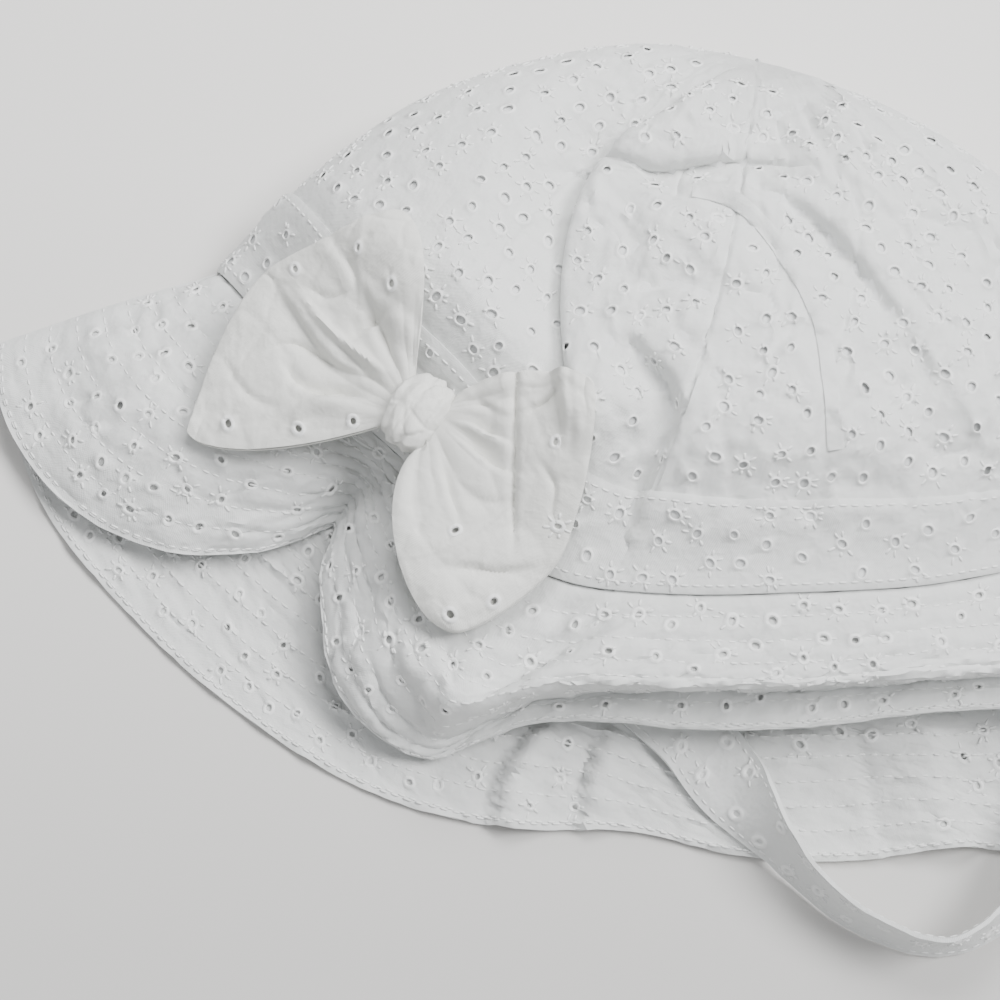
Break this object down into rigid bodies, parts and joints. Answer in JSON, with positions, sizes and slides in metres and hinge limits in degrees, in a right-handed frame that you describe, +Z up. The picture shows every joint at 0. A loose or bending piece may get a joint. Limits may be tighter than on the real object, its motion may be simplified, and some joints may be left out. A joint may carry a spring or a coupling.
{
  "type": "sun hat",
  "caption": "Child's soft cotton sun hat with a floppy brim, hat band, side bow and chin strap, pierced with eyelets and lying on its back.",
  "frame": {"origin": "on the flat of the crown's back, where the lying hat rests on the table", "axes": "+X to the right of the lying hat, along its brim; +Y from the brim to the top of the crown; +Z up from the table"},
  "size_m": [0.3308, 0.2269, 0.0581],
  "materials": {
    "cotton": "matt white eyelet cotton",
    "bow_cotton": "matt off-white eyelet cotton"
  },
  "bodies": {
    "root": {"crown_front": "cotton", "crown_back": "cotton", "hat_band": "cotton", "brim_front": "cotton", "brim_back": "cotton", "bow_left_loop": "bow_cotton", "bow_right_loop": "bow_cotton", "bow_knot": "bow_cotton", "chin_strap": "cotton"}
  },
  "joints": []
}
